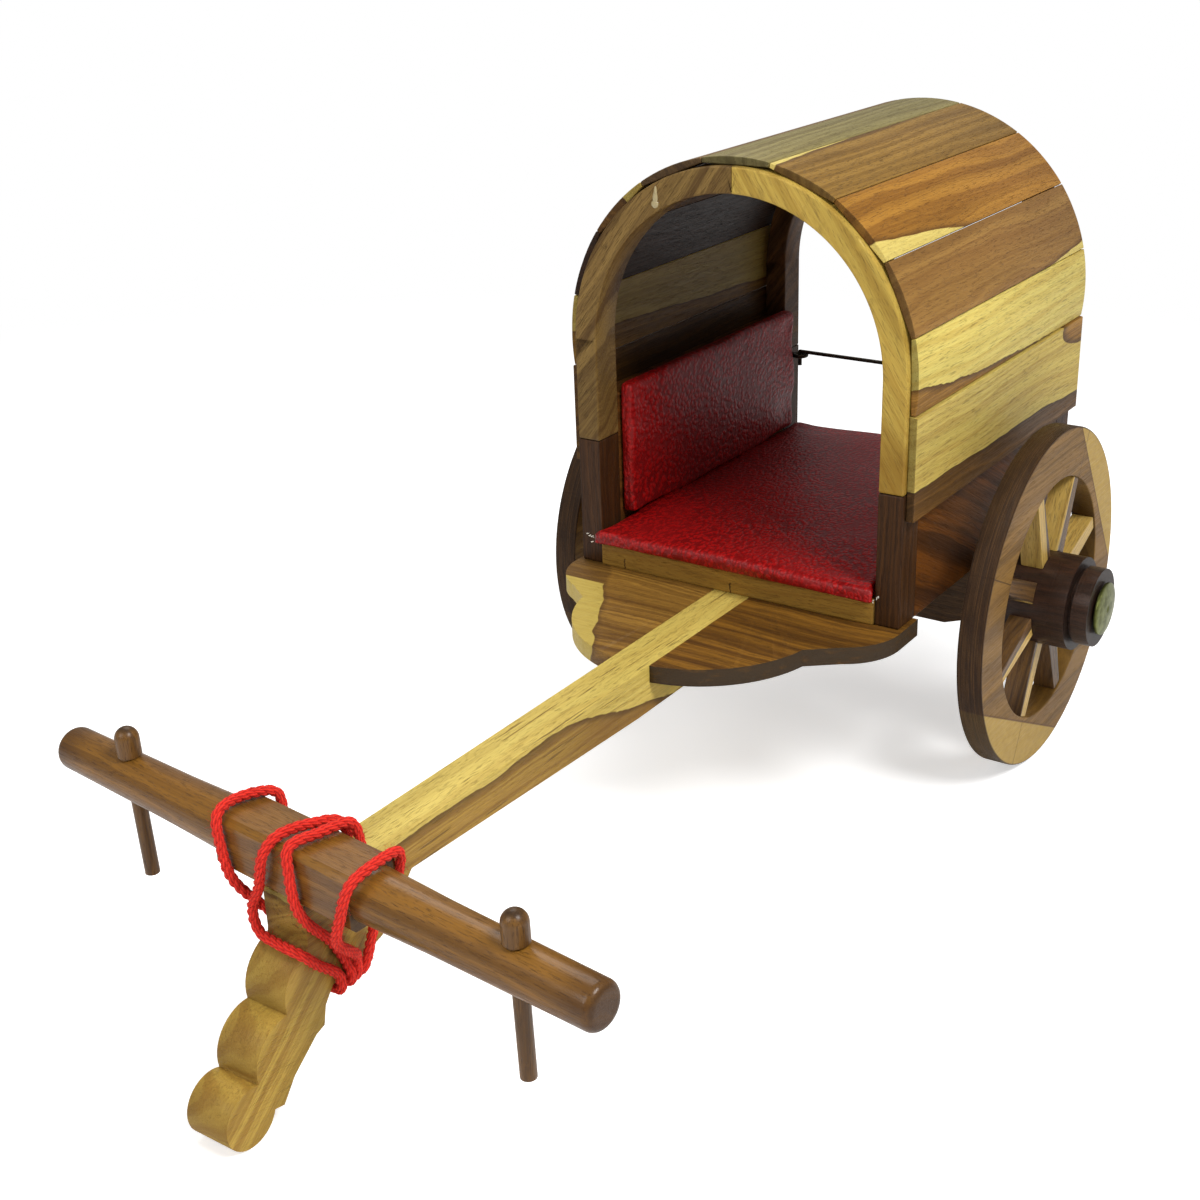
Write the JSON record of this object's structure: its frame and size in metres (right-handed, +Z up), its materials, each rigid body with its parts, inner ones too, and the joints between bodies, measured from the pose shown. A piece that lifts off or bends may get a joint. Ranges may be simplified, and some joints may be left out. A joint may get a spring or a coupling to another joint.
{
  "type": "toy bullock cart",
  "caption": "Small wooden toy bullock cart with a barrel roof, red padded seat, spoked wheels, a pole ending in a carved foot, and a lashed yoke.",
  "frame": {"origin": "on the floor plane, under the middle of the cart's overall box", "axes": "+X forwards along the pole, +Y to the cart's left, +Z up"},
  "size_m": [0.235, 0.126, 0.1316],
  "materials": {
    "dark_wood": "satin hand-turned heartwood, near black-brown",
    "brown_wood": "oiled teak with dark and pale streaks",
    "pale_wood": "oiled teak sapwood, straw yellow",
    "varnished_wood": "golden-brown satin varnish",
    "leatherette": "grained red leatherette, soft gloss",
    "brass": "dull brass tack head",
    "wire": "dark bent iron wire",
    "yarn": "twisted red wool yarn"
  },
  "bodies": {
    "cart": {"pole": "pale_wood", "footboard_left": "brown_wood", "footboard_right": "brown_wood", "floor_board": "brown_wood", "post_front_left": "dark_wood", "post_front_right": "dark_wood", "post_rear_left": "dark_wood", "post_rear_right": "dark_wood", "hoop_front_left": "pale_wood", "hoop_front_right": "pale_wood", "hoop_rear_left": "pale_wood", "hoop_rear_right": "pale_wood", "side_panel_left": "brown_wood", "side_panel_right": "brown_wood", "roof_slat_1": "brown_wood", "roof_slat_2": "brown_wood", "roof_slat_3": "brown_wood", "roof_slat_4": "brown_wood", "roof_slat_5": "brown_wood", "roof_slat_6": "brown_wood", "roof_slat_7": "brown_wood", "roof_slat_8": "brown_wood", "roof_slat_9": "brown_wood", "roof_slat_10": "brown_wood", "roof_slat_11": "brown_wood", "seat_front_board": "brown_wood", "seat_rear_board": "brown_wood", "seat_panel": "pale_wood", "seat_cushion": "leatherette", "side_cushion_left": "leatherette", "side_cushion_right": "leatherette", "bolster": "dark_wood", "axle": "pale_wood", "tack_left": "brass", "tack_right": "brass", "yoke": "varnished_wood", "yoke_peg_left": "varnished_wood", "yoke_peg_right": "varnished_wood", "lashing": "yarn", "rear_hook": "wire", "rear_eyes": "wire"},
    "wheel_left": {"rim_left": "brown_wood", "spokes_left": "pale_wood", "hub_left": "dark_wood"},
    "wheel_right": {"rim_right": "brown_wood", "spokes_right": "pale_wood", "hub_right": "dark_wood"}
  },
  "joints": [
    {"name": "wheel_left_spin", "type": "hinge", "parent": "cart", "child": "wheel_left", "pos_m": [-0.07616, 0.0482, 0.036], "axis": [0, 1, 0], "continuous": true},
    {"name": "wheel_right_spin", "type": "hinge", "parent": "cart", "child": "wheel_right", "pos_m": [-0.07616, -0.0482, 0.036], "axis": [0, 1, 0], "continuous": true}
  ]
}
